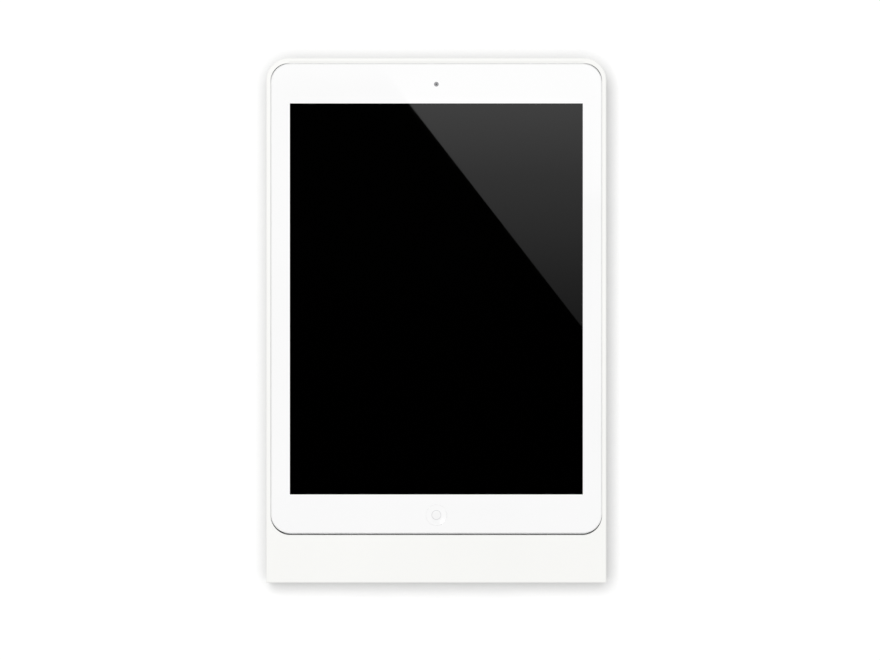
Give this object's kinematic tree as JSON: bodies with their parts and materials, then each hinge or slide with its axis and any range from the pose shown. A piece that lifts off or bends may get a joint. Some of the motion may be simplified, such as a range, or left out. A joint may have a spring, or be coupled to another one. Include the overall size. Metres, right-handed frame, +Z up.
{
  "type": "tablet wall mount",
  "caption": "White wall mount: a thin frame with a plain chin pulls off a wall plate and ribbed tray, with a docked tablet, magnets and a sliding plug cradle inside.",
  "frame": {"origin": "on the wall, at the back face of the plate, in the middle of the mount's width and height and of the wall box's screws", "axes": "+X to the right seen from the front, +Y into the wall, +Z up"},
  "size_m": [0.173, 0.0145, 0.2668],
  "materials": {
    "white_powder_coat": "satin powder coat on aluminium",
    "galvanised_steel": "galvanised",
    "screw_steel": "zinc plated",
    "tray_plastic": "fine moulded grain",
    "cradle_plastic": "fine moulded grain",
    "pad_rubber": "matt",
    "magnet_nickel": "nickel plated",
    "anodised_aluminium": "bead blasted, anodised",
    "front_glass": "gloss, white border over a black screen",
    "gasket_plastic": "satin",
    "display_black": "gloss",
    "battery_foil": "foil pouch",
    "board_green": "solder mask",
    "camera_black": "matt",
    "lens_glass": "gloss",
    "button_white": "gloss"
  },
  "bodies": {
    "wall_base": {"wall_plate": "galvanised_steel", "tray": "tray_plastic", "dock_base": "tray_plastic", "tray_screws": "screw_steel", "rest_pads": "pad_rubber", "ledge_pads": "pad_rubber", "chin_magnets": "magnet_nickel", "top_magnets": "magnet_nickel"},
    "plug_cradle": {"plug_cradle": "cradle_plastic", "cradle_cap": "screw_steel"},
    "tablet": {"tablet_housing": "anodised_aluminium", "tablet_glass": "front_glass", "glass_gasket": "gasket_plastic", "display_panel": "display_black", "battery_cells": "battery_foil", "logic_board": "board_green", "board_shields": "screw_steel", "front_camera": "camera_black", "rear_camera": "camera_black", "camera_lens": "lens_glass", "port_connector": "screw_steel", "speakers": "camera_black", "headphone_jack": "camera_black", "home_switch": "camera_black", "button_switches": "camera_black"},
    "frame": {"front_frame": "white_powder_coat", "chin_keepers": "galvanised_steel", "top_keepers": "galvanised_steel"},
    "home_button": {"home_button": "button_white"},
    "power_button": {"power_button": "anodised_aluminium"},
    "volume_up": {"volume_up": "anodised_aluminium"},
    "volume_down": {"volume_down": "anodised_aluminium"},
    "side_switch": {"side_switch": "anodised_aluminium"}
  },
  "joints": [
    {"name": "tablet_lift_off", "type": "slide", "parent": "wall_base", "child": "tablet", "axis": [0, -1, 0], "range_m": [0, 0.04]},
    {"name": "frame_pull_off", "type": "slide", "parent": "tablet", "child": "frame", "axis": [0, -1, 0], "range_m": [0, 0.03]},
    {"name": "cradle_slide", "type": "slide", "parent": "wall_base", "child": "plug_cradle", "axis": [0, 0, -1], "range_m": [0, 0.0075]},
    {"name": "home_press", "type": "slide", "parent": "tablet", "child": "home_button", "axis": [0, 1, 0], "range_m": [0, 0.0004], "stiffness_N_per_m": 900, "springref_m": -0.001},
    {"name": "power_press", "type": "slide", "parent": "tablet", "child": "power_button", "axis": [0, 0, -1], "range_m": [0, 0.0003], "stiffness_N_per_m": 1200, "springref_m": -0.001},
    {"name": "volume_up_press", "type": "slide", "parent": "tablet", "child": "volume_up", "axis": [-1, 0, 0], "range_m": [0, 0.0003], "stiffness_N_per_m": 1200, "springref_m": -0.001},
    {"name": "volume_down_press", "type": "slide", "parent": "tablet", "child": "volume_down", "axis": [-1, 0, 0], "range_m": [0, 0.0003], "stiffness_N_per_m": 1200, "springref_m": -0.001},
    {"name": "side_switch_slide", "type": "slide", "parent": "tablet", "child": "side_switch", "axis": [0, 0, -1], "range_m": [0, 0.0015]}
  ]
}
